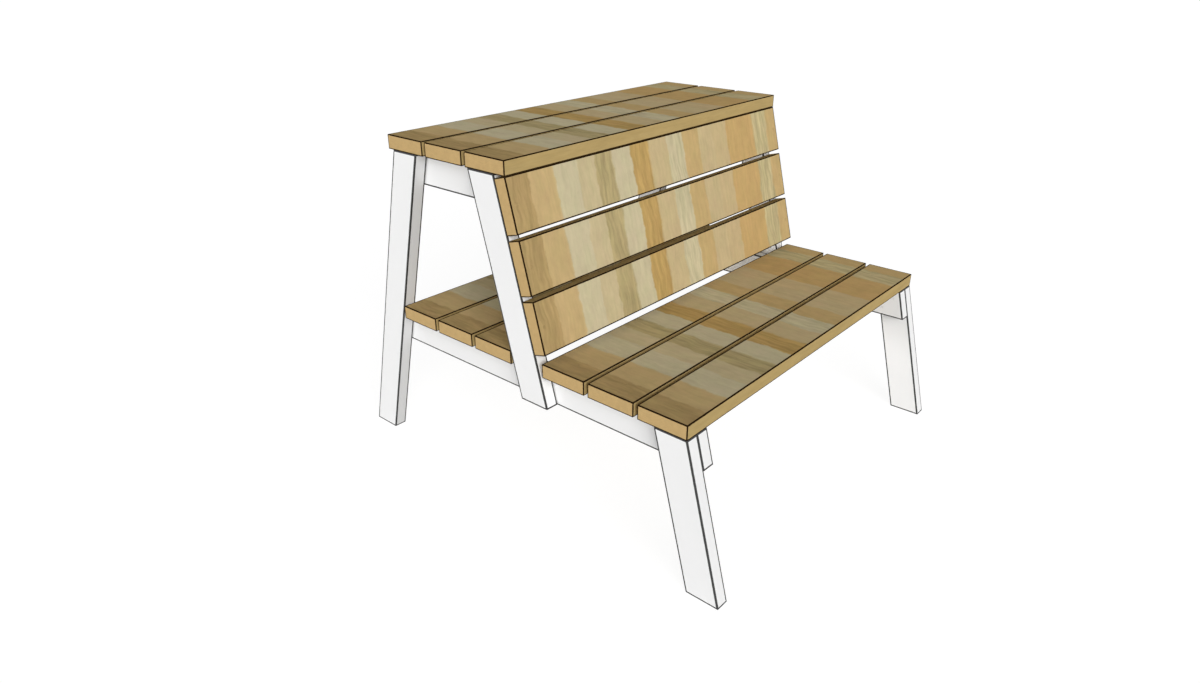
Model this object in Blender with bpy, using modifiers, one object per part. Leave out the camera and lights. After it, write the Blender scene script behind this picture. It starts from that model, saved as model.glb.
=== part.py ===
"""Fire pit bench with a raised table behind its back rest, built from planed softwood lumber.

Two end frames, each of five white-painted sticks screwed together, carry twelve stained boards:
three for the seat, three for the back rest, three for the table and three for the shelf below it.

Units are metres, +Z is up, and the bench faces -Y. Left is -X, as seen from in front.
The origin is on the ground at the centre of the footprint.
Inside the script, y is measured back from the front edge of the seat.
"""

import math

import bmesh
import bpy
from mathutils import Matrix, Vector

INCH = 0.0254

# Lumber, at its planed sizes
board_length = 47.75 * INCH
board_width = 5.5 * INCH
board_thickness = 1.5 * INCH
stick_width = 3.5 * INCH
stick_thickness = 1.5 * INCH
eased_edge = 0.125 * INCH
eased_edge_segments = 3

# Layout
lean = math.radians(15)
seat_leg_length = 17 * INCH
board_gap = 0.5 * INCH
post_setback = 0.42 * INCH
back_rest_rise = 0.625 * INCH
boards_across = 3

# Exterior wood screw, the same one everywhere
screw_length = 2.5 * INCH
screw_head_radius = 0.0046
screw_head_rim = 0.0006
screw_head_height = 0.0036
screw_shank_radius = 0.0019
screw_thread_radius = 0.0025
screw_thread_length = 1.5 * INCH
screw_thread_runout = 0.001
screw_point_length = 0.006
screw_sides = 10
socket_sides = 6
socket_radius = 0.0022
socket_depth = 0.0022
cutter_reach = 0.004

# How deep the heads are sunk: under a wooden plug in the boards, just under the paint in the frame
plug_depth = 0.3125 * INCH
painted_over_depth = 0.0006

# Where the two screws of a leg's lap joint sit, from the middle of the lap
lap_screw_rise = 0.75 * INCH
lap_screw_spread = 0.8 * INCH

# Clearances
contact_gap = 0.0003
screw_clearance = 0.0003

# Mesh settings
sharp_corner = math.radians(40)
merge_distance = 0.00001

slope = math.tan(lean)
stick_run = stick_width / math.cos(lean)
surface_depth = boards_across * board_width + (boards_across - 1) * board_gap

# Heights. The back rest stands over the seat, and its front top corner sets the table's height.
seat_base = seat_leg_length * math.cos(lean)
seat_underside = seat_base + contact_gap
seat_top = seat_underside + board_thickness
rail_bottom = seat_base - stick_width
back_rest_height = surface_depth * math.cos(lean) + board_thickness * math.sin(lean)
table_base = seat_top + back_rest_rise + back_rest_height
table_underside = table_base + contact_gap
apron_bottom = table_base - stick_width

# Distances across the bench, from its centre plane
leg_x = (board_length - stick_thickness) / 2
rail_x = leg_x - stick_thickness - contact_gap
sides = (("left", -1), ("right", 1))


def seat_leg_front(z):
    """The seat leg's front edge meets the seat's front edge and runs forward as it goes down."""
    return (z - seat_base) * slope


def post_front(z):
    """The back post's front edge stands behind the seat and leans back as it goes up."""
    return surface_depth + post_setback + (z - seat_base) * slope


shelf_front = post_front(seat_top) + stick_run + contact_gap
shelf_rear = shelf_front + surface_depth


def table_leg_front(z):
    """The table leg's front edge meets the shelf's rear edge and leans forward as it goes up."""
    return shelf_rear + contact_gap + (seat_top - z) * slope


def table_leg_rear(z):
    return table_leg_front(z) + stick_run


# The back rest lies on the front edges of the posts, and the table starts over its front top corner.
back_rest_offset = contact_gap + board_thickness
up_the_lean = Vector((0, math.sin(lean), math.cos(lean)))
into_the_back = Vector((0, math.cos(lean), -math.sin(lean)))
post_edge_at_top = Vector((0, post_front(table_base), table_base))
corner_slide = back_rest_offset * slope
back_rest_corner = post_edge_at_top - into_the_back * back_rest_offset - up_the_lean * corner_slide
table_front = back_rest_corner.y

footprint_centre = (seat_leg_front(0) + table_leg_rear(0)) / 2


def clear_scene():
    for old in list(bpy.data.objects):
        bpy.data.objects.remove(old)


def new_collection(name):
    made = bpy.data.collections.new(name)
    bpy.context.scene.collection.children.link(made)
    return made


def new_material(name, colour, roughness, metallic=0.0):
    made = bpy.data.materials.new(name)
    made.use_nodes = True
    shader = made.node_tree.nodes["Principled BSDF"]
    shader.inputs["Base Color"].default_value = (*colour, 1.0)
    shader.inputs["Roughness"].default_value = roughness
    shader.inputs["Metallic"].default_value = metallic
    return made


def add_piece(name, mesh, location, rotation_x=0.0, collection=None):
    piece = bpy.data.objects.new(name, mesh)
    piece.location = location
    piece.rotation_euler.x = rotation_x
    piece.parent = seat_front_datum
    (collection or bench).objects.link(piece)
    return piece


def eased_box(name, size, front_slope=0.0, rear_slope=0.0, long_axis=0):
    """A planed stick: a box whose front and rear faces lean by their slopes, with its long edges eased."""
    bm = bmesh.new()
    bmesh.ops.create_cube(bm, size=1.0, matrix=Matrix.Diagonal((*size, 1.0)))

    def runs_lengthwise(edge):
        start, end = edge.verts
        return start.co[long_axis] * end.co[long_axis] < 0

    long_edges = [edge for edge in bm.edges if runs_lengthwise(edge)]
    for vertex in bm.verts:
        vertex.co.y += vertex.co.z * (front_slope if vertex.co.y < 0 else rear_slope)
    bmesh.ops.bevel(
        bm, geom=long_edges, offset=eased_edge, segments=eased_edge_segments, profile=0.5, affect="EDGES"
    )
    bmesh.ops.recalc_face_normals(bm, faces=bm.faces)
    mesh = bpy.data.meshes.new(name)
    bm.to_mesh(mesh)
    bm.free()
    mesh.shade_smooth()
    mesh.set_sharp_from_angle(angle=sharp_corner)
    return mesh


def add_board(name, centre, rotation_x=0.0):
    mesh = eased_box(name, (board_length, board_width, board_thickness), long_axis=0)
    mesh.materials.append(stained_wood)
    return add_piece(name, mesh, centre, rotation_x)


def add_stick(name, x, bottom, top, front, rear, upright):
    """A frame stick between two heights. front and rear give its edges' y at a height."""
    middle = (bottom + top) / 2
    size = (stick_thickness, rear(middle) - front(middle), top - bottom)
    front_slope = (front(top) - front(bottom)) / (top - bottom)
    rear_slope = (rear(top) - rear(bottom)) / (top - bottom)
    mesh = eased_box(name, size, front_slope, rear_slope, long_axis=2 if upright else 1)
    mesh.materials.append(white_paint)
    return add_piece(name, mesh, (x, (front(middle) + rear(middle)) / 2, middle))


def turned_mesh(name, profile):
    """Turns a profile of (radius, height) points, given from the top down, about Z."""
    line = bpy.data.meshes.new(name + "_profile")
    points = [(radius, 0, height) for radius, height in profile]
    line.from_pydata(points, [(i, i + 1) for i in range(len(points) - 1)], [])
    turned = bpy.data.objects.new(name + "_profile", line)
    bpy.context.scene.collection.objects.link(turned)
    screw = turned.modifiers.new("Turn", "SCREW")
    screw.steps = screw.render_steps = screw_sides
    screw.use_merge_vertices = True
    screw.merge_threshold = merge_distance
    return turned


def baked(source, name):
    """The evaluated mesh of an object, which is then removed."""
    bpy.context.view_layer.update()
    graph = bpy.context.evaluated_depsgraph_get()
    mesh = bpy.data.meshes.new_from_object(source.evaluated_get(graph))
    mesh.name = name
    bpy.data.objects.remove(source)
    return mesh


def screw_profile(clearance=0.0, above=0.0):
    """The screw's outline from its head down to its point, grown by a clearance for its hole."""
    head_radius = screw_head_radius + clearance
    shank_radius = screw_shank_radius + clearance
    thread_radius = screw_thread_radius + clearance
    thread_top = screw_length - screw_thread_length
    return [
        (0, above),
        (head_radius, above),
        (head_radius, -screw_head_rim - clearance),
        (shank_radius, -screw_head_height - clearance),
        (shank_radius, -thread_top + screw_thread_runout + clearance),
        (thread_radius, -thread_top + clearance),
        (thread_radius, -screw_length + screw_point_length - clearance),
        (0, -screw_length - clearance),
    ]


def make_screw_mesh():
    body = turned_mesh("screw", screw_profile())
    bpy.ops.mesh.primitive_cylinder_add(
        vertices=socket_sides, radius=socket_radius, depth=2 * socket_depth, location=(0, 0, 0)
    )
    socket = bpy.context.object
    cut = body.modifiers.new("Drive_socket", "BOOLEAN")
    cut.operation = "DIFFERENCE"
    cut.object = socket
    mesh = baked(body, "wood_screw")
    bpy.data.objects.remove(socket)
    mesh.materials.append(screw_coating)
    mesh.shade_smooth()
    mesh.set_sharp_from_angle(angle=sharp_corner)
    return mesh


def drive_screw(name, face_point, direction, depth, held):
    """Sinks a screw's head to a depth below a face and cuts its hole in each piece that it holds."""
    direction = Vector(direction).normalized()
    turn = (-direction).to_track_quat("Z", "Y")
    head = Vector(face_point) + direction * depth
    for label, mesh, collection in ((name, screw_mesh, bench), (name + "_hole", hole_mesh, cutters)):
        made = add_piece(label, mesh, head, collection=collection)
        made.rotation_mode = "QUATERNION"
        made.rotation_quaternion = turn
    made.hide_render = True
    made.display_type = "WIRE"
    for piece in held:
        cut = piece.modifiers.new(name, "BOOLEAN")
        cut.operation = "DIFFERENCE"
        cut.object = made


def add_end_frame(side, sign):
    """One end of the bench: seat leg, back post and table leg outside, rail and apron inside."""
    outside, inside = sign * leg_x, sign * rail_x
    return {
        "seat_leg": add_stick(
            f"seat_leg_{side}", outside, 0, seat_base,
            seat_leg_front, lambda z: seat_leg_front(z) + stick_run, upright=True,
        ),
        "back_post": add_stick(
            f"back_post_{side}", outside, rail_bottom, table_base,
            post_front, lambda z: post_front(z) + stick_run, upright=True,
        ),
        "table_leg": add_stick(
            f"table_leg_{side}", outside, 0, table_base, table_leg_front, table_leg_rear, upright=True
        ),
        "rail": add_stick(
            f"rail_{side}", inside, rail_bottom, seat_base, seat_leg_front, table_leg_rear, upright=False
        ),
        "apron": add_stick(
            f"apron_{side}", inside, apron_bottom, table_base, post_front, table_leg_rear, upright=False
        ),
    }


def screw_frame_together(side, sign, frame):
    """Screws run from the inner face of the rail or apron out into the legs, so no head shows outside."""
    inner_face = sign * (rail_x - stick_thickness / 2)
    outward = (sign, 0, 0)
    rail_middle = (rail_bottom + seat_base) / 2
    apron_middle = (apron_bottom + table_base) / 2
    half_run = stick_run / 2

    def lap_screw(name, held, front, z, y_shift=0.0):
        point = (inner_face, front(z) + half_run + y_shift, z)
        drive_screw(f"{name}_{side}", point, outward, painted_over_depth, held)

    for leg, front, spread in (
        ("seat_leg", seat_leg_front, -lap_screw_spread),
        ("table_leg", table_leg_front, lap_screw_spread),
    ):
        lapped = (frame["rail"], frame[leg])
        lap_screw(f"{leg}_upper_screw", lapped, front, rail_middle + lap_screw_rise, spread)
        lap_screw(f"{leg}_lower_screw", lapped, front, rail_middle - lap_screw_rise, -spread)
    lap_screw("back_post_rail_screw", (frame["rail"], frame["back_post"]), post_front, rail_middle)
    lap_screw("back_post_apron_screw", (frame["apron"], frame["back_post"]), post_front, apron_middle)
    lap_screw("table_leg_apron_screw", (frame["apron"], frame["table_leg"]), table_leg_front, apron_middle)


def add_level_boards(surface, front, underside, frames, carrier):
    """Three boards side by side on the rails or aprons, each held by one screw at each end."""
    for index, place in enumerate(("front", "middle", "rear")):
        y = front + board_width / 2 + index * (board_width + board_gap)
        name = f"{surface}_board_{place}"
        board = add_board(name, (0, y, underside + board_thickness / 2))
        for side, sign in sides:
            point = (sign * rail_x, y, underside + board_thickness)
            held = (board, frames[side][carrier])
            drive_screw(f"{name}_screw_{side}", point, (0, 0, -1), plug_depth, held)


def add_back_boards(frames):
    """Three boards one above the other on the front edges of the back posts."""
    for index, place in enumerate(("upper", "middle", "lower")):
        down = board_width / 2 + index * (board_width + board_gap)
        face = back_rest_corner - up_the_lean * down
        name = f"back_board_{place}"
        board = add_board(name, face + into_the_back * board_thickness / 2, math.pi / 2 - lean)
        for side, sign in sides:
            point = face + Vector((sign * leg_x, 0, 0))
            held = (board, frames[side]["back_post"])
            drive_screw(f"{name}_screw_{side}", point, into_the_back, plug_depth, held)


clear_scene()
bench = new_collection("fire_pit_bench_with_table")
cutters = new_collection("screw_holes")
stained_wood = new_material("stained_wood", (0.51, 0.39, 0.19), 0.55)
white_paint = new_material("white_paint", (0.86, 0.86, 0.85), 0.45)
screw_coating = new_material("screw_coating", (0.33, 0.25, 0.15), 0.4, metallic=0.6)

seat_front_datum = bpy.data.objects.new("seat_front_datum", None)
seat_front_datum.location.y = -footprint_centre
bench.objects.link(seat_front_datum)

screw_mesh = make_screw_mesh()
hole_outline = screw_profile(clearance=screw_clearance, above=plug_depth + cutter_reach)
hole_mesh = baked(turned_mesh("screw_hole", hole_outline), "screw_hole")

end_frames = {side: add_end_frame(side, sign) for side, sign in sides}
for side, sign in sides:
    screw_frame_together(side, sign, end_frames[side])
add_level_boards("seat", 0, seat_underside, end_frames, "rail")
add_level_boards("shelf", shelf_front, seat_underside, end_frames, "rail")
add_level_boards("table", table_front, table_underside, end_frames, "apron")
add_back_boards(end_frames)
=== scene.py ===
"""The looks of a fire pit bench with a raised table behind its back rest.

Twelve boards of blended wood strips lie on two white-painted end frames. Each board and stick is
rebuilt round its solid in its own frame, with x along its length, y across its width and z through
its thickness, so that grain, brush marks and dark arrises follow the piece.
"""

import itertools
import math

import bmesh
import bpy
from mathutils import Matrix, Vector


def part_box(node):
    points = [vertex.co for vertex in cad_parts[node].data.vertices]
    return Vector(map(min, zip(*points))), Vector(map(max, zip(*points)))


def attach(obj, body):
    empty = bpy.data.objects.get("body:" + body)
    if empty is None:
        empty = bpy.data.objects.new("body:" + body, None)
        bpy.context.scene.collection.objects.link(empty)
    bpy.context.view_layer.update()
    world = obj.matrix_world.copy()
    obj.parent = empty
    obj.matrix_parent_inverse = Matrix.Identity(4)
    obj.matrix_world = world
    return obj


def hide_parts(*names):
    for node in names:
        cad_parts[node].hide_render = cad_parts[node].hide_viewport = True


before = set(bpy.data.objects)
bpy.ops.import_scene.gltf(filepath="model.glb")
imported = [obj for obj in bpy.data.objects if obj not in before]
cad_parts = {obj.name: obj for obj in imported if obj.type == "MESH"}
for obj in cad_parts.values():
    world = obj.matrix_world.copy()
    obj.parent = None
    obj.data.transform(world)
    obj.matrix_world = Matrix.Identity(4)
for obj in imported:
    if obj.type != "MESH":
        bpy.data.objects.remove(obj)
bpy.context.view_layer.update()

INCH = 0.0254


def grey(value):
    return (value, value, value, 1.0)


# Lumber
lean = math.radians(15)
eased_edge = 0.0006
eased_edge_segments = 3
sanded_end_edge = 0.0004
sanded_end_segments = 2

# Screws, and the wooden plugs over those in the boards
screw_length = 2.5 * INCH
thread_length = 1.5 * INCH
shank_radius = 0.0019
thread_radius = 0.0025
head_height = 0.0036
head_rim = 0.0006
point_length = 0.006
screw_clearance = 0.0003
cutter_reach = 0.004  # how far a hole's cutter stands out of the wood
socket_points = 6
socket_steps = 4  # corners for each point of the star
socket_radius = 0.0024
socket_swell = 0.14
socket_depth = 0.0022
socket_turn = math.radians(4.5)  # keeps its corners off the edges of the turned head
turned_sides = 32
plug_gap = 0.00012
plug_chamfer = 0.0003
plug_below_face = 0.00015

# Mesh settings
sharp_corner = math.radians(40)
round_profile = 0.5
broad_face_weight = 100
merge_distance = 1e-6
plane_tolerance = 1e-6

# Strips of wood across each board, from its left end: width in inches, and tone
strips = (
    (2.83, "umber"), (3.34, "straw"), (3.50, "cream"), (2.50, "blush"), (2.76, "olive"),
    (3.14, "cream"), (3.00, "amber"), (3.26, "beige"), (2.94, "combed cream"), (3.06, "honey"),
    (3.00, "beige"), (3.00, "blush beige"), (5.84, "apricot"), (3.16, "sage"), (2.42, "honey"),
)
tones = {
    "umber": (0.425, 0.300, 0.135),
    "straw": (0.545, 0.400, 0.195),
    "honey": (0.530, 0.380, 0.175),
    "cream": (0.565, 0.495, 0.320),
    "combed cream": (0.560, 0.490, 0.310),
    "blush": (0.550, 0.455, 0.270),
    "olive": (0.440, 0.355, 0.180),
    "amber": (0.480, 0.320, 0.120),
    "beige": (0.545, 0.430, 0.240),
    "blush beige": (0.545, 0.420, 0.230),
    "apricot": (0.540, 0.365, 0.155),
    "sage": (0.515, 0.430, 0.235),
}
streakiness = {"umber": 1.35, "olive": 1.55, "amber": 1.35, "sage": 1.75, "combed cream": 1.2}
plain_streakiness = 0.45

# Noises: lumps per metre along, across and through the piece, then detail and roughness
noises = {
    "strip wander": ((9, 22, 9), 5.0, 0.6),
    "grain bend": ((12, 14, 12), 2.0, 0.5),
    "streaks": ((105, 10, 40), 3.0, 0.55),
    "fibres": ((620, 26, 120), 3.0, 0.6),
    "pores": ((2400, 90, 300), 1.0, 0.5),
    "patches": ((34, 24, 30), 3.0, 0.6),
    "mottling": ((30, 18, 24), 3.0, 0.6),
    "edge streaks": ((5, 90, 90), 3.0, 0.6),
    "edge fibres": ((18, 700, 700), 3.0, 0.6),
    "edge patches": ((14, 60, 60), 3.0, 0.6),
    "ring wobble": ((20, 20, 20), 2.0, 0.5),
    "saw marks": ((200, 60, 900), 2.0, 0.6),
    "end patches": ((80, 80, 80), 3.0, 0.65),
    "brush marks": ((7, 420, 420), 3.0, 0.6),
    "paint clouds": ((6, 12, 12), 2.0, 0.5),
    "specks": ((900, 900, 900), 2.0, 0.5),
}
grain_step = (2.7, 1.9, 0.8)  # how far one piece's noise lies from the next one's

# Broad faces of the boards. Each depth is the share by which a mark lightens or darkens the wood.
strip_blur = 0.0012
strip_wander = 0.014
grain_bend = 0.014
streak_depth = 0.30
fibre_depth = 0.045
patch_depth = 0.13
pore_depth = 0.05
pore_noise = (0.30, 0.40)  # all pore below the first value, no pore above the second
pore_sink = 0.5
mottle_tints = ((0.96, 1.025, 0.95, 1.0), (1.04, 0.975, 1.03, 1.0))
face_bump = 0.00004
face_roughness = (0.50, 0.62)
plug_light = 0.93
wood_specular = 0.0

# Narrow faces of the boards
edge_tones = ((0.425, 0.300, 0.120, 1.0), (0.495, 0.370, 0.165, 1.0))
edge_fibre_light = (0.86, 1.14)
edge_patch_depth = 0.16
edge_bump = 0.00004
edge_roughness = (0.52, 0.64)

# Sawn ends of the boards
end_tones = ((0.505, 0.345, 0.150, 1.0), (0.575, 0.405, 0.190, 1.0))
end_patch_light = (0.86, 1.14)
above_heart = (0.0, 0.011, 0.075)  # from the heart of the tree to the middle of the board
across_only = (0.0, 1.0, 1.0)
ring_wobble = 0.004
rings_per_metre = 260.0
late_wood_sharpness = 3.0
late_wood_share = 0.28
late_wood_tone = (0.40, 0.235, 0.085, 1.0)
late_wood_height = 0.4
end_bump = 0.00008
end_roughness = 0.7

# Arrises, where two faces of a piece meet, are dark for this far from the corner, and then fade
broad_arris = 0.0031
narrow_arris = 0.0023
stick_arris = 0.0038
arris_fade = 0.0005
arris_stain = (0.024, 0.013, 0.005, 1.0)
rubbed_edge = grey(0.018)

# Paint. The faces that lean over the ground are painted a darker grey, a painted shade.
paint_tones = (grey(0.845), (0.865, 0.865, 0.862, 1.0))
brush_light = (0.988, 1.012)
painted_shade_tone = grey(0.25)
painted_shade_share = 0.34
painted_shade_lean = (-0.24, -0.10)  # how far up a face looks where it is all painted shade, and where it has none
paint_bump = 0.00003
paint_roughness = (0.42, 0.54)
paint_specular = 0.4

# Coats of the screws
coat_light = (0.85, 1.12)
coat_bump = 0.00003
coat_roughness_spread = 0.06
coat_specular = 0.5

# Floor
floor_size = 120.0
floor_segments = 8
floor_bounce = 0.60
floor_seen_glow = 0.89
floor_seen_colour = 0.21

# Light. A sun's angles are in degrees, and its azimuth turns from +X towards +Y.
sky_light = 0.24
suns = {
    "key_light": {"strength": 2.75, "azimuth": 236.5, "elevation": 20, "softness": 40},
    "fill_light": {"strength": 0.86, "azimuth": 172, "elevation": 3, "softness": 8},
    "rear_light": {"strength": 0.9, "azimuth": 50, "elevation": 9, "softness": 40, "glints": False},
}
reflector_power = 1.2
reflector_size = (0.8, 0.8)
reflector_place = (0.1, 0.0, 0.01)

# Camera
camera_place = (-1.8814, -1.4122, 1.3977)
camera_pitch = math.radians(64.20)
camera_heading = math.radians(-48.90)
sensor_width = 36.0
lens = 24.67
view_distance = 500.0


class Nodes:
    """A node tree, built one node at a time. Inputs are sockets or plain values."""

    def __init__(self, tree):
        self.nodes = tree.nodes
        self.links = tree.links

    def feed(self, socket, value):
        if isinstance(value, bpy.types.NodeSocket):
            self.links.new(value, socket)
        else:
            socket.default_value = value

    def node(self, kind, inputs, **settings):
        made = self.nodes.new("ShaderNode" + kind)
        for name, value in settings.items():
            setattr(made, name, value)
        for name, value in inputs.items():
            self.feed(made.inputs[name], value)
        return made

    def number(self, operation, first, second=0.0):
        return self.node("Math", {0: first, 1: second}, operation=operation).outputs[0]

    def vector(self, operation, first, second):
        return self.node("VectorMath", {0: first, 1: second}, operation=operation).outputs[0]

    def parts(self, vector):
        return tuple(self.node("SeparateXYZ", {0: vector}).outputs)

    def scaled(self, value, low, high):
        """A value from 0 to 1, such as a noise, spread between two ends."""
        return self.node("MapRange", {"Value": value, "To Min": low, "To Max": high}).outputs[0]

    def fade(self, value, start, end):
        """1 below start, falling smoothly to 0 at end."""
        ends = {"Value": value, "From Min": start, "From Max": end, "To Min": 1.0, "To Max": 0.0}
        return self.node("MapRange", ends, interpolation_type="SMOOTHSTEP").outputs[0]

    def mix(self, factor, first, second, blend="MIX"):
        """Two colours mixed. The numbers are those of the Mix node's colour sockets."""
        made = self.node("Mix", {"Factor": factor}, data_type="RGBA", blend_type=blend)
        self.feed(made.inputs[6], first)
        self.feed(made.inputs[7], second)
        return made.outputs[2]

    def lit(self, colour, light):
        """The colour, lighter or darker by a factor."""
        factors = self.node("CombineXYZ", {0: light, 1: light, 2: light}).outputs[0]
        return self.mix(1.0, colour, factors, "MULTIPLY")

    def seen(self):
        """1 for what the camera sees, itself or in a surface, and 0 for what lights the bench."""
        path = self.node("LightPath", {}).outputs
        mirrored = self.number("MAXIMUM", path["Is Glossy Ray"], path["Is Transmission Ray"])
        return self.number("MAXIMUM", path["Is Camera Ray"], mirrored)


class Finish(Nodes):
    """The material of a surface."""

    def __init__(self, name):
        self.material = bpy.data.materials.new(name)
        self.material.use_nodes = True
        super().__init__(self.material.node_tree)
        self.shader = self.nodes["Principled BSDF"]

    def attribute(self, name, kind="GEOMETRY"):
        node = self.node("Attribute", {}, attribute_type=kind, attribute_name=name)
        return node.outputs["Vector"]

    def spot(self):
        """The point's place in the piece's own frame."""
        return self.attribute("own_place")

    def place(self):
        """The same place moved far off by the piece's own number, so that no two look alike."""
        return self.vector("ADD", self.spot(), self.attribute("grain_number", "OBJECT"))

    def noise(self, place, kind):
        lumps, detail, roughness = noises[kind]
        at = self.vector("MULTIPLY", place, lumps)
        inputs = {"Vector": at, "Scale": 1.0, "Detail": detail, "Roughness": roughness}
        return self.node("TexNoise", inputs).outputs[0]

    def arris(self, width):
        """1 on the piece's arrises, 0 on its open faces.

        A point on a face lies at no depth under it, so its next smallest depth is its distance
        from the nearest arris.
        """
        depths = self.vector("MINIMUM", self.attribute("inset_low"), self.attribute("inset_high"))
        a, b, c = self.parts(depths)
        lesser = self.number("MINIMUM", a, b)
        greater = self.number("MAXIMUM", a, b)
        to_arris = self.number("MAXIMUM", lesser, self.number("MINIMUM", greater, c))
        return self.fade(to_arris, width, width + arris_fade)

    def bump(self, height, distance):
        made = self.node("Bump", {"Strength": 1.0, "Distance": distance, "Height": height})
        self.feed(self.shader.inputs["Normal"], made.outputs[0])

    def finish(self, colour, roughness, specular):
        self.feed(self.shader.inputs["Base Color"], colour)
        self.feed(self.shader.inputs["Roughness"], roughness)
        self.shader.inputs["Specular IOR Level"].default_value = specular
        return self.material


def strip_ramp(finish, along, value_of):
    """A ramp along the board that holds each strip's value and blends across each border."""
    ramp = finish.node("ValToRGB", {"Fac": along})
    elements = ramp.color_ramp.elements
    length = sum(width for width, tone in strips)
    half_blur = strip_blur / (length * INCH) / 2
    border = 0.0
    stops = [(0.0, strips[0][1])]
    for (width, tone), (_, next_tone) in zip(strips, strips[1:]):
        border += width / length
        stops += [(border - half_blur, tone), (border + half_blur, next_tone)]
    stops.append((1.0, strips[-1][1]))
    while len(elements) > 1:
        elements.remove(elements[-1])
    elements[0].position = stops[0][0]
    elements[0].color = value_of(stops[0][1])
    for position, tone in stops[1:]:
        elements.new(position).color = value_of(tone)
    return ramp.outputs["Color"]


def wood_face(name, board_length, own_light=1.0):
    """The broad faces: strips across the board, with their grain running across it too."""
    f = Finish(name)
    place = f.place()
    wander = f.scaled(f.noise(place, "strip wander"), -strip_wander, strip_wander)
    x = f.number("ADD", f.parts(f.spot())[0], wander)
    along = f.number("ADD", f.number("DIVIDE", x, board_length), 0.5)
    wood = strip_ramp(f, along, lambda tone: (*tones[tone], 1.0))
    streaky = strip_ramp(f, along, lambda tone: grey(streakiness.get(tone, plain_streakiness)))

    bend = f.scaled(f.noise(place, "grain bend"), -grain_bend, grain_bend)
    grain = f.vector("ADD", place, f.node("CombineXYZ", {0: bend}).outputs[0])
    streak = f.scaled(f.noise(grain, "streaks"), -streak_depth, streak_depth)
    fibres = f.noise(grain, "fibres")
    pore = f.fade(f.noise(grain, "pores"), *pore_noise)
    patch = f.scaled(f.noise(place, "patches"), -patch_depth, patch_depth)

    light = f.number("ADD", 1.0, patch)
    light = f.number("ADD", light, f.scaled(fibres, -fibre_depth, fibre_depth))
    light = f.number("ADD", light, f.number("MULTIPLY", streaky, streak))
    light = f.number("SUBTRACT", light, f.number("MULTIPLY", pore, pore_depth))
    wood = f.lit(wood, f.number("MULTIPLY", light, own_light))
    tint = f.mix(f.noise(place, "mottling"), *mottle_tints)
    wood = f.mix(1.0, wood, tint, "MULTIPLY")
    colour = f.mix(f.arris(broad_arris), wood, arris_stain)
    f.bump(f.number("SUBTRACT", fibres, f.number("MULTIPLY", pore, pore_sink)), face_bump)
    return f.finish(colour, f.scaled(fibres, *face_roughness), wood_specular)


def wood_edge(name):
    """The narrow long faces: plain wood, with its grain along the board."""
    f = Finish(name)
    place = f.place()
    fibres = f.noise(place, "edge fibres")
    patch = f.scaled(f.noise(place, "edge patches"), -edge_patch_depth, edge_patch_depth)
    wood = f.mix(f.noise(place, "edge streaks"), *edge_tones)
    wood = f.lit(wood, f.number("ADD", f.scaled(fibres, *edge_fibre_light), patch))
    colour = f.mix(f.arris(narrow_arris), wood, arris_stain)
    f.bump(fibres, edge_bump)
    return f.finish(colour, f.scaled(fibres, *edge_roughness), wood_specular)


def wood_end(name):
    """The sawn ends: growth rings round a heart that lies below the board."""
    f = Finish(name)
    place = f.place()
    wobble = f.scaled(f.noise(place, "ring wobble"), -ring_wobble, ring_wobble)
    from_heart = f.vector("MULTIPLY", f.vector("ADD", f.spot(), above_heart), across_only)
    distance = f.node("VectorMath", {0: from_heart}, operation="LENGTH").outputs["Value"]
    rings = f.number("MULTIPLY", f.number("ADD", distance, wobble), rings_per_metre)
    late_wood = f.number("POWER", f.number("FRACT", rings), late_wood_sharpness)
    saw_marks = f.noise(place, "saw marks")

    wood = f.mix(saw_marks, *end_tones)
    dark, pale = (f.lit(wood, light) for light in end_patch_light)
    wood = f.mix(f.noise(place, "end patches"), dark, pale)
    wood = f.mix(f.number("MULTIPLY", late_wood, late_wood_share), wood, late_wood_tone)
    colour = f.mix(f.arris(narrow_arris), wood, arris_stain)
    height = f.number("ADD", saw_marks, f.number("MULTIPLY", late_wood, late_wood_height))
    f.bump(height, end_bump)
    return f.finish(colour, end_roughness, wood_specular)


def painted(name):
    """White exterior paint: brush marks along the stick, and dirt where its edges are rubbed."""
    f = Finish(name)
    place = f.place()
    brush = f.noise(place, "brush marks")
    paint = f.mix(f.noise(place, "paint clouds"), *paint_tones)
    paint = f.lit(paint, f.scaled(brush, *brush_light))
    # Faces that lean over the ground are painted darker grey here: painted shade.
    facing_up = f.parts(f.node("NewGeometry", {}).outputs["Normal"])[2]
    painted_shade = f.number("MULTIPLY", f.fade(facing_up, *painted_shade_lean), painted_shade_share)
    paint = f.mix(painted_shade, paint, painted_shade_tone)
    colour = f.mix(f.arris(stick_arris), paint, rubbed_edge)
    f.bump(brush, paint_bump)
    return f.finish(colour, f.scaled(brush, *paint_roughness), paint_specular)


def screw_coat(name, colour, metallic, roughness):
    f = Finish(name)
    specks = f.noise(f.place(), "specks")
    dark, pale = ((*[c * light for c in colour], 1.0) for light in coat_light)
    rough = (roughness - coat_roughness_spread, roughness + coat_roughness_spread)
    f.shader.inputs["Metallic"].default_value = metallic
    f.bump(specks, coat_bump)
    return f.finish(f.mix(specks, dark, pale), f.scaled(specks, *rough), coat_specular)


def as_mesh(name, bm):
    mesh = bpy.data.meshes.new(name)
    bm.to_mesh(mesh)
    bm.free()
    return mesh


def new_object(name, data, matrix=None):
    made = bpy.data.objects.new(name, data)
    bpy.context.scene.collection.objects.link(made)
    if matrix:
        made.matrix_world = matrix
    return made


piece_numbers = itertools.count(1)


def add_piece(name, mesh, matrix, node=None):
    """A piece of the bench, riding on its one body. node is the solid that it stands for."""
    made = new_object(name, mesh, matrix)
    number = next(piece_numbers)
    made["grain_number"] = [step * number for step in grain_step]
    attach(made, "root")
    if node:
        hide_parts(node)
    return made


def middle_and_size(node):
    low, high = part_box(node)
    return (low + high) / 2, high - low


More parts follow.
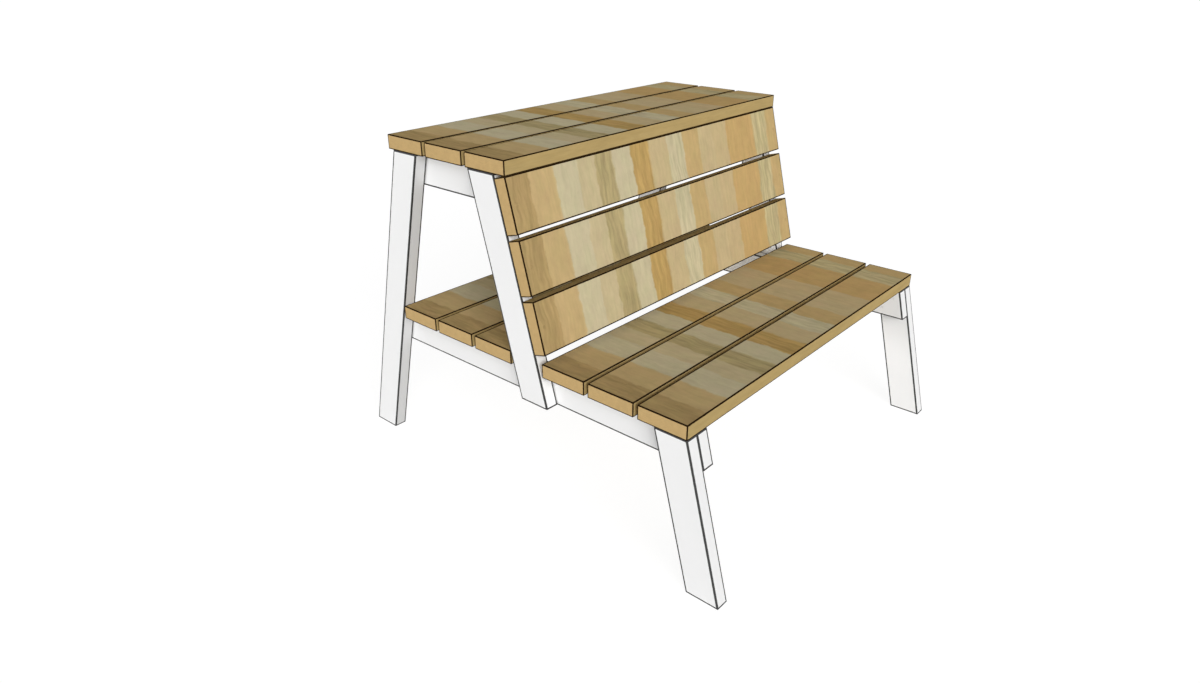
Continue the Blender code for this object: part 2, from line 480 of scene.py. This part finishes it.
# The eight corners of a box, by the side that each lies on along x, y and z
corner_signs = [(x, y, z) for x in (-1, 1) for y in (-1, 1) for z in (-1, 1)]


def boxed_corners(size):
    """The corners of a box round the origin."""
    return {signs: Vector([s * d / 2 for s, d in zip(signs, size)]) for signs in corner_signs}


# A box so large that a small piece in it has no arris
open_corners = boxed_corners((1, 1, 1))


def face_planes(corners):
    """A point on each of the six faces and its outward normal, by axis and side."""
    centre = sum(corners.values(), Vector()) / len(corners)
    planes = {}
    for axis in range(3):
        for side in (-1, 1):
            on_face = [corners[signs] for signs in corner_signs if signs[axis] == side]
            middle = sum(on_face, Vector()) / len(on_face)
            normal = (on_face[1] - on_face[0]).cross(on_face[2] - on_face[0]).normalized()
            if normal.dot(middle - centre) < 0:
                normal.negate()
            planes[axis, side] = (middle, normal)
    return planes


def ease(bm, edges, width, segments):
    settings = {"offset": width, "segments": segments, "profile": round_profile}
    bmesh.ops.bevel(bm, geom=edges, affect="EDGES", **settings)


def lumber_mesh(name, corners):
    """A board or stick with eased long edges and lightly sanded ends. x is its length."""
    bm = bmesh.new()
    bmesh.ops.create_cube(bm, size=2.0)  # so that its corners lie at the corner signs
    long_edges = [e for e in bm.edges if e.verts[0].co.x * e.verts[1].co.x < 0]
    for vertex in bm.verts:
        vertex.co = corners[tuple(round(c) for c in vertex.co)]
    ease(bm, long_edges, eased_edge, eased_edge_segments)
    bmesh.ops.recalc_face_normals(bm, faces=bm.faces)
    planes = face_planes(corners)
    ends = [planes[0, side] for side in (-1, 1)]

    def on_an_end(edge):
        return any(
            all(abs((vertex.co - point).dot(normal)) < plane_tolerance for vertex in edge.verts)
            for point, normal in ends
        )

    end_edges = [edge for edge in bm.edges if on_an_end(edge)]
    ease(bm, end_edges, sanded_end_edge, sanded_end_segments)
    return as_mesh(name, bm)


def turned(name, profile):
    """A closed turned mesh from (radius, height) points, from the top down.

    The end points lie on the axis.
    """
    bm = bmesh.new()
    points = [bm.verts.new((radius, 0.0, height)) for radius, height in profile]
    lines = [bm.edges.new(pair) for pair in zip(points, points[1:])]
    round_z = {"axis": (0, 0, 1), "cent": (0, 0, 0), "angle": math.tau}
    bmesh.ops.spin(bm, geom=points + lines, steps=turned_sides, use_merge=True, **round_z)
    bmesh.ops.remove_doubles(bm, verts=bm.verts, dist=merge_distance)
    bmesh.ops.recalc_face_normals(bm, faces=bm.faces)
    return as_mesh(name, bm)


def screw_profile(head_radius, clearance=0.0, above=0.0):
    """A screw with its head's face at height 0, or its hole, which opens above the head."""
    thread_top = screw_length - thread_length
    return [
        (0, above),
        (head_radius + clearance, above),
        (head_radius + clearance, -head_rim - clearance),
        (shank_radius + clearance, -head_height - clearance),
        (shank_radius + clearance, -thread_top + clearance),
        (thread_radius + clearance, -thread_top - clearance),
        (thread_radius + clearance, -screw_length + point_length - clearance),
        (0, -screw_length - clearance),
    ]


def star_mesh(name):
    """The cutter of a star-shaped driver socket."""
    bm = bmesh.new()
    corners = socket_steps * socket_points
    rim = []
    for index in range(corners):
        angle = math.tau * index / corners
        radius = socket_radius * (1 + socket_swell * math.cos(socket_points * angle))
        angle += socket_turn
        rim.append(bm.verts.new((radius * math.cos(angle), radius * math.sin(angle), socket_depth)))
    face = bm.faces.new(rim)
    swept = bmesh.ops.extrude_face_region(bm, geom=[face])
    for item in swept["geom"]:
        if isinstance(item, bmesh.types.BMVert):
            item.co.z = -socket_depth
    bmesh.ops.recalc_face_normals(bm, faces=bm.faces)
    return as_mesh(name, bm)


def cut(obj, cutters):
    """Cuts the cutter meshes, each with its matrix, out of an object's mesh."""
    tools = []
    for mesh, matrix in cutters:
        tool = new_object("tool", mesh, matrix)
        tools.append(tool)
        modifier = obj.modifiers.new("Cut", "BOOLEAN")
        modifier.operation = "DIFFERENCE"
        modifier.solver = "EXACT"
        modifier.object = tool
    bpy.context.view_layer.update()
    graph = bpy.context.evaluated_depsgraph_get()
    mesh = bpy.data.meshes.new_from_object(obj.evaluated_get(graph))
    obj.modifiers.clear()
    obj.data = mesh
    for tool in tools:
        bpy.data.objects.remove(tool)


def note_places(mesh, corners):
    """Stores where each point is in the piece's own frame, and its depth under each face."""
    own_place = mesh.attributes.new("own_place", "FLOAT_VECTOR", "POINT")
    for vertex, stored in zip(mesh.vertices, own_place.data):
        stored.vector = vertex.co
    planes = face_planes(corners)
    for name, side in (("inset_low", -1), ("inset_high", 1)):
        depths = mesh.attributes.new(name, "FLOAT_VECTOR", "POINT")
        for vertex, stored in zip(mesh.vertices, depths.data):
            stored.vector = [
                -(vertex.co - planes[axis, side][0]).dot(planes[axis, side][1]) for axis in range(3)
            ]


def dress(mesh, corners, *materials):
    """Gives a mesh its materials, what they read from it, and its sharp corners."""
    note_places(mesh, corners)
    mesh.materials.clear()
    for material in materials:
        mesh.materials.append(material)
    mesh.shade_smooth()
    mesh.set_sharp_from_angle(angle=sharp_corner)


def keep_flat(obj):
    """Lets the broad faces rule the normals, so that only the eased edges shade as round."""
    modifier = obj.modifiers.new("Flat faces", "WEIGHTED_NORMAL")
    modifier.weight = broad_face_weight
    modifier.keep_sharp = True


def stand_upright(obj):
    """Moves the object's turn into its mesh, so that its box lies along the row frame's axes."""
    world = obj.matrix_world.copy()
    obj.data.transform(world.to_3x3().to_4x4())
    obj.matrix_world = Matrix.Translation(world.translation)


def board_screw_matrix(board_matrix, half_thickness, node):
    """A board screw goes straight down through the middle of its board's width."""
    x = middle_and_size(node)[0].x
    return board_matrix @ Matrix.Translation((x, 0, half_thickness - plug_depth))


def frame_screw_matrix(node):
    """A frame screw lies along x, with its head on the inner side."""
    low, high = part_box(node)
    outward = 1 if node.endswith("right") else -1
    head_x = low.x if outward > 0 else high.x
    turn = Vector((-outward, 0, 0)).to_track_quat("Z", "Y").to_matrix().to_4x4()
    return Matrix.Translation((head_x, (low.y + high.y) / 2, (low.z + high.z) / 2)) @ turn


# The frame screws that go through each kind of stick
screws_through = {
    "seat_leg": ("seat_leg_upper", "seat_leg_lower"),
    "back_post": ("back_post_rail", "back_post_apron"),
    "table_leg": ("table_leg_upper", "table_leg_lower", "table_leg_apron"),
    "rail": (
        "seat_leg_upper", "seat_leg_lower", "table_leg_upper", "table_leg_lower", "back_post_rail",
    ),
    "apron": ("back_post_apron", "table_leg_apron"),
}


def make_screw(name, coat):
    """The mesh that all screws with this coat share."""
    blank = new_object(name, turned(name, screw_profile(head_radius)), Matrix.Identity(4))
    cut(blank, [(socket, Matrix.Identity(4))])
    mesh = blank.data
    bpy.data.objects.remove(blank)
    dress(mesh, open_corners, coat)
    return mesh


def add_plug(name, board_matrix, screw_matrix):
    """A plug cut from the same wood, modelled in its board's frame so that its strip matches."""
    radius = head_radius + screw_clearance - plug_gap
    top = plug_depth - plug_below_face
    chamfered_rim = [(radius - plug_chamfer, top), (radius, top - plug_chamfer)]
    mesh = turned(name, [(0, top), *chamfered_rim, (radius, plug_gap), (0, plug_gap)])
    mesh.transform(board_matrix.inverted() @ screw_matrix)
    dress(mesh, open_corners, plug_wood)
    add_piece(name, mesh, board_matrix)


def make_board(node, matrix, size):
    """One board, its two screws and the wooden plugs over them."""
    corners = boxed_corners(size)
    screws = {}
    for side in ("left", "right"):
        screws[side] = board_screw_matrix(matrix, size.z / 2, f"{node}_screw_{side}")
    board = add_piece(f"{node}_finished", lumber_mesh(node, corners), matrix, node)
    cut(board, [(hole, place) for place in screws.values()])
    dress(board.data, corners, *board_wood)
    for polygon in board.data.polygons:
        reach = [abs(c) for c in polygon.normal]
        faced_axis = reach.index(max(reach))
        polygon.material_index = 2 - faced_axis  # board_wood runs from z to x
    keep_flat(board)
    for side, place in screws.items():
        screw = f"{node}_screw_{side}"
        add_piece(f"{screw}_finished", coated_screw, place, screw)
        add_plug(f"{node}_plug_{side}", matrix, place)


def make_stick(node, front_slope, rear_slope):
    """A leg, post, rail or apron that fills its solid's box.

    A slope is 1 where the stick's front or rear leans back as it goes up, and -1 where it leans
    forward. The two are alike on an upright stick, and differ on one that lies level.
    """
    low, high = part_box(node)
    run = math.tan(lean) * (high.z - low.z)
    heights = (-1, 1)  # the bottom and the top
    front = {height: low.y + (run if height == front_slope else 0) for height in heights}
    rear = {height: high.y - (run if height == -rear_slope else 0) for height in heights}
    upright = front_slope == rear_slope

    if upright:
        length_axis = Vector((0, math.sin(lean) * front_slope, math.cos(lean)))
    else:
        length_axis = Vector((0, 1, 0))
    thickness_axis = Vector((1, 0, 0))
    width_axis = thickness_axis.cross(length_axis)
    turn = Matrix((length_axis, width_axis, thickness_axis)).transposed().to_4x4()
    middle = Vector(((low.x + high.x) / 2, 0, (low.z + high.z) / 2))
    middle.y = (sum(front.values()) + sum(rear.values())) / 4
    matrix = Matrix.Translation(middle) @ turn
    to_local = matrix.inverted()

    corners = {}
    for along, across, through in corner_signs:
        if upright:
            height, is_front = along, across > 0
        else:
            height, is_front = across, along < 0
        x = high.x if through > 0 else low.x
        y = (front if is_front else rear)[height]
        z = high.z if height > 0 else low.z
        corners[along, across, through] = to_local @ Vector((x, y, z))

    stick = add_piece(f"{node}_finished", lumber_mesh(node, corners), matrix, node)
    kind, side = node.rsplit("_", 1)
    screws = [f"{screw}_screw_{side}" for screw in screws_through[kind]]
    cut(stick, [(hole, frame_screw_matrix(screw)) for screw in screws])
    dress(stick.data, corners, white_paint)
    stand_upright(stick)
    keep_flat(stick)


def make_floor():
    bm = bmesh.new()
    segments = {"x_segments": floor_segments, "y_segments": floor_segments}
    bmesh.ops.create_grid(bm, size=floor_size / 2, **segments)
    mesh = as_mesh("floor", bm)
    f = Finish("pale_floor")
    f.nodes.remove(f.shader)
    bounced = f.node("BsdfDiffuse", {"Color": grey(floor_bounce)}).outputs[0]
    shown = f.node("BsdfDiffuse", {"Color": grey(floor_seen_colour)}).outputs[0]
    glow = f.node("Emission", {"Color": grey(1.0), "Strength": floor_seen_glow}).outputs[0]
    both = f.node("AddShader", {0: shown, 1: glow}).outputs[0]
    surface = f.node("MixShader", {0: f.seen(), 1: bounced, 2: both}).outputs[0]
    f.feed(f.nodes["Material Output"].inputs["Surface"], surface)
    mesh.materials.append(f.material)
    floor = new_object("floor", mesh)


def make_world():
    """White where it is seen, and a weak even light on the bench."""
    world = bpy.data.worlds.new("studio")
    bpy.context.scene.world = world
    world.use_nodes = True
    w = Nodes(world.node_tree)
    background = w.nodes["Background"]
    w.feed(background.inputs["Color"], grey(1.0))
    w.feed(background.inputs["Strength"], w.scaled(w.seen(), sky_light, 1.0))


def make_sun(name, strength, azimuth, elevation, softness, glints=True):
    lamp = bpy.data.lights.new(name, "SUN")
    lamp.energy = strength
    lamp.angle = math.radians(softness)
    azimuth, elevation = math.radians(azimuth), math.radians(elevation)
    level = math.cos(elevation)
    towards = Vector((math.cos(azimuth) * level, math.sin(azimuth) * level, math.sin(elevation)))
    sun = new_object(name, lamp)
    sun.rotation_euler = towards.to_track_quat("Z", "Y").to_euler()
    sun.visible_glossy = glints


def make_reflector():
    """A reflector on the ground under the bench, which lights its underside."""
    lamp = bpy.data.lights.new("reflector", "AREA")
    lamp.shape = "RECTANGLE"
    lamp.size, lamp.size_y = reflector_size
    lamp.energy = reflector_power
    reflector = new_object("reflector", lamp)
    reflector.location = reflector_place
    reflector.rotation_euler = (math.pi, 0.0, 0.0)
    reflector.visible_camera = False
    reflector.visible_glossy = False


def make_camera():
    camera = bpy.data.cameras.new("camera")
    camera.sensor_width = sensor_width
    camera.lens = lens
    camera.clip_end = view_distance
    made = new_object("camera", camera)
    made.location = camera_place
    made.rotation_euler = (camera_pitch, 0.0, camera_heading)
    bpy.context.scene.camera = made


# Finishes. A board's are in the order of the faces that look along z, y and x.
board_size = middle_and_size("seat_board_front")[1]
board_wood = (
    wood_face("blended_wood", board_size.x),
    wood_edge("board_edge_wood"),
    wood_end("board_end_wood"),
)
plug_wood = wood_face("plug_wood", board_size.x, plug_light)
white_paint = painted("white_exterior_paint")
tan_coat = screw_coat("tan_screw_coating", (0.33, 0.25, 0.15), metallic=0.5, roughness=0.4)
paint_coat = screw_coat("painted_screw_head", (0.84, 0.84, 0.83), metallic=0.0, roughness=0.45)

# Screws and their holes. The head is a screw's widest part, and its face lies under the plug.
head_radius = middle_and_size("seat_board_front_screw_left")[1].x / 2
plug_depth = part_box("seat_board_front")[1].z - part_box("seat_board_front_screw_left")[1].z
hole = turned("hole", screw_profile(head_radius, screw_clearance, plug_depth + cutter_reach))
socket = star_mesh("socket")
coated_screw = make_screw("coated_screw", tan_coat)
painted_screw = make_screw("painted_screw", paint_coat)

# Boards
for surface in ("seat", "shelf", "table"):
    for place in ("front", "middle", "rear"):
        node = f"{surface}_board_{place}"
        middle, size = middle_and_size(node)
        make_board(node, Matrix.Translation(middle), size)
lean_back = Matrix.Rotation(math.pi / 2 - lean, 4, "X")
for place in ("upper", "middle", "lower"):
    node = f"back_board_{place}"
    middle = middle_and_size(node)[0]
    make_board(node, Matrix.Translation(middle) @ lean_back, board_size)

# End frames
for side in ("left", "right"):
    make_stick(f"seat_leg_{side}", 1, 1)
    make_stick(f"back_post_{side}", 1, 1)
    make_stick(f"table_leg_{side}", -1, -1)
    make_stick(f"rail_{side}", 1, -1)
    make_stick(f"apron_{side}", 1, -1)
frame_screws = [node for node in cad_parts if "_screw_" in node and "_board_" not in node]
for node in frame_screws:
    add_piece(f"{node}_finished", painted_screw, frame_screw_matrix(node), node)

# Studio
make_floor()
make_world()
for name, settings in suns.items():
    make_sun(name, **settings)
make_reflector()
make_camera()
bpy.context.scene.view_settings.view_transform = "Standard"
